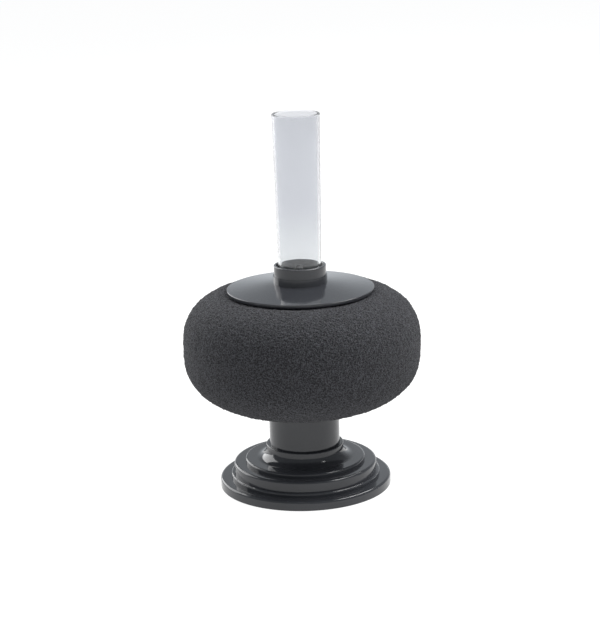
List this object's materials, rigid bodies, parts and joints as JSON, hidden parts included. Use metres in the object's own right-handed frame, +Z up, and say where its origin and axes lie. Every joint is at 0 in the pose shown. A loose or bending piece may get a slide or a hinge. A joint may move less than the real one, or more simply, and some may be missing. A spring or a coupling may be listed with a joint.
{
  "type": "aquarium sponge filter",
  "caption": "Air-driven aquarium sponge filter: squat round foam on a stepped weighted pedestal, under a shallow conical cap with a collar and an open clear lift tube.",
  "frame": {"origin": "centre of the foot's underside, on the filter's axis", "axes": "+Z up along the filter's axis, towards the lift tube's mouth; +Y towards the airline nipple; the picture is taken from -Y"},
  "size_m": [0.12, 0.12, 0.1915],
  "materials": {
    "dark_plastic": "glossy moulded dark grey",
    "strainer_plastic": "satin moulded black",
    "clear_plastic": "clear, polished, faintly blue",
    "foam": "open-cell charcoal foam",
    "air_plastic": "satin black",
    "cast_weight": "coated casting"
  },
  "bodies": {
    "base": {"foot_tray": "dark_plastic", "base_bell": "dark_plastic", "ballast_ring": "cast_weight", "stem": "dark_plastic", "core_foot": "strainer_plastic", "strainer": "strainer_plastic", "guide_ring": "strainer_plastic"},
    "foam": {"sponge": "foam"},
    "cap": {"top_cap": "dark_plastic", "air_elbow": "air_plastic", "air_pipe": "air_plastic", "air_diffuser": "air_plastic"},
    "tube": {"lift_tube": "clear_plastic"}
  },
  "joints": [
    {"name": "sponge_lift", "type": "slide", "parent": "base", "child": "foam", "axis": [0, 0, 1], "range_m": [0, 0.07]},
    {"name": "cap_lift", "type": "slide", "parent": "foam", "child": "cap", "axis": [0, 0, 1], "range_m": [0, 0.07]},
    {"name": "tube_lift", "type": "slide", "parent": "cap", "child": "tube", "axis": [0, 0, 1], "range_m": [0, 0.025]}
  ]
}
